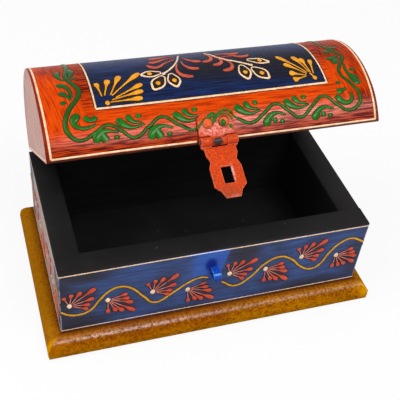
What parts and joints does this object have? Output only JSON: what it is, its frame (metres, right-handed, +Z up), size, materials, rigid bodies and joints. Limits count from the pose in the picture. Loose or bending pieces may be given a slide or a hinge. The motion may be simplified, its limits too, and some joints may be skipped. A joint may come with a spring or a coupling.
{
  "type": "decorative box",
  "caption": "Painted wooden box on a plinth with an arched lid on two back hinges, closed by a slotted hasp over a strap staple.",
  "frame": {"origin": "on the plinth's underside, below the middle of the box", "axes": "+X along the box's length, +Y towards the hinges at the back, +Z up"},
  "size_m": [0.202, 0.1256, 0.1423],
  "materials": {
    "plinth_ochre": "ochre paint rubbed with brown, varnished",
    "body_blue": "ultramarine paint with darker rubbed patches, varnished, with raised painted ornament",
    "interior_black": "matte black paint",
    "lid_orange": "orange-red brushed paint, varnished, with raised painted ornament",
    "lid_end_red": "red-brown paint, varnished",
    "hasp_orange": "orange paint over iron, worn at the edges",
    "staple_blue": "bright blue paint over iron",
    "hinge_iron": "dull iron",
    "pin_iron": "dark iron",
    "fixings": "plain steel"
  },
  "bodies": {
    "box": {"plinth": "plinth_ochre", "floor_panel": "interior_black", "front_wall": "body_blue", "back_wall": "body_blue", "left_wall": "body_blue", "right_wall": "body_blue", "wall_nails": "fixings", "plinth_screws": "fixings", "hinge_left_body_leaf": "hinge_iron", "hinge_right_body_leaf": "hinge_iron", "hinge_left_pin": "pin_iron", "hinge_right_pin": "pin_iron", "hinge_body_screws": "fixings", "staple": "staple_blue"},
    "lid": {"lid_arch_panel": "lid_orange", "lid_left_end": "lid_end_red", "lid_right_end": "lid_end_red", "lid_front_rail": "interior_black", "lid_back_rail": "interior_black", "lid_nails": "fixings", "hinge_left_lid_leaf": "hinge_iron", "hinge_right_lid_leaf": "hinge_iron", "hinge_lid_screws": "fixings", "hasp_leaf": "hasp_orange", "hasp_rivets": "hasp_orange", "hasp_pin": "pin_iron"},
    "hasp": {"hasp_plate": "hasp_orange"}
  },
  "joints": [
    {"name": "lid_hinge", "type": "hinge", "parent": "box", "child": "lid", "pos_m": [0, 0.0552, 0.0616], "axis": [-1, 0, 0], "range_deg": [-34.2, 75.8]},
    {"name": "hasp_hinge", "type": "hinge", "parent": "lid", "child": "hasp", "pos_m": [-0.0034, -0.03547, 0.12503], "axis": [-1, 0, 0], "range_deg": [-33.9, 131.1]}
  ]
}
